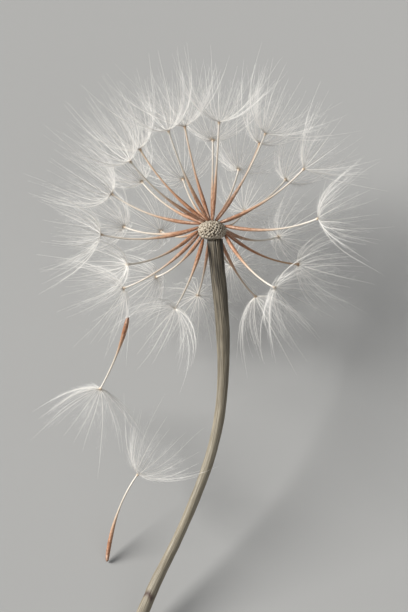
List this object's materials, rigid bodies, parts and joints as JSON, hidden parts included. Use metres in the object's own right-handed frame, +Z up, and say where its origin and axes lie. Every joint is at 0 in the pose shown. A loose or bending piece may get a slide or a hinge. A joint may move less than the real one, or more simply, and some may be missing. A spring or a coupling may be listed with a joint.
{
  "type": "dandelion seed head",
  "caption": "Cut dandelion-like seed head lying down: a globe of feathery parachute seeds around a pitted receptacle on a curved dry stem.",
  "frame": {"origin": "on the surface that the plant lies on, under the middle of its bounding box", "axes": "+Z up from the surface, +Y along the plant from the cut end of the stem to the top of the head, +X to the right of someone who looks down at it with the head away from them"},
  "size_m": [0.0582, 0.0906, 0.0459],
  "materials": {
    "receptacle": "dull, pitted, cream-coloured pith",
    "stem": "dry, finely ribbed, grey-beige turning olive-brown towards the head",
    "seed": "dry: salmon-orange achene, ivory beak and silky off-white bristles"
  },
  "bodies": {
    "root": {"receptacle": "receptacle", "stem": "stem", "seed_01": "seed", "seed_02": "seed", "seed_03": "seed", "seed_04": "seed", "seed_05": "seed", "seed_06": "seed", "seed_07": "seed", "seed_08": "seed", "seed_09": "seed", "seed_10": "seed", "seed_11": "seed", "seed_12": "seed", "seed_13": "seed", "seed_14": "seed", "seed_15": "seed", "seed_16": "seed", "seed_17": "seed", "seed_18": "seed", "seed_19": "seed", "seed_20": "seed", "seed_21": "seed", "seed_22": "seed", "seed_23": "seed", "seed_24": "seed", "seed_25": "seed", "seed_26": "seed", "seed_27": "seed", "seed_28": "seed", "seed_29": "seed", "loose_seed_1": "seed", "loose_seed_2": "seed"}
  },
  "joints": []
}
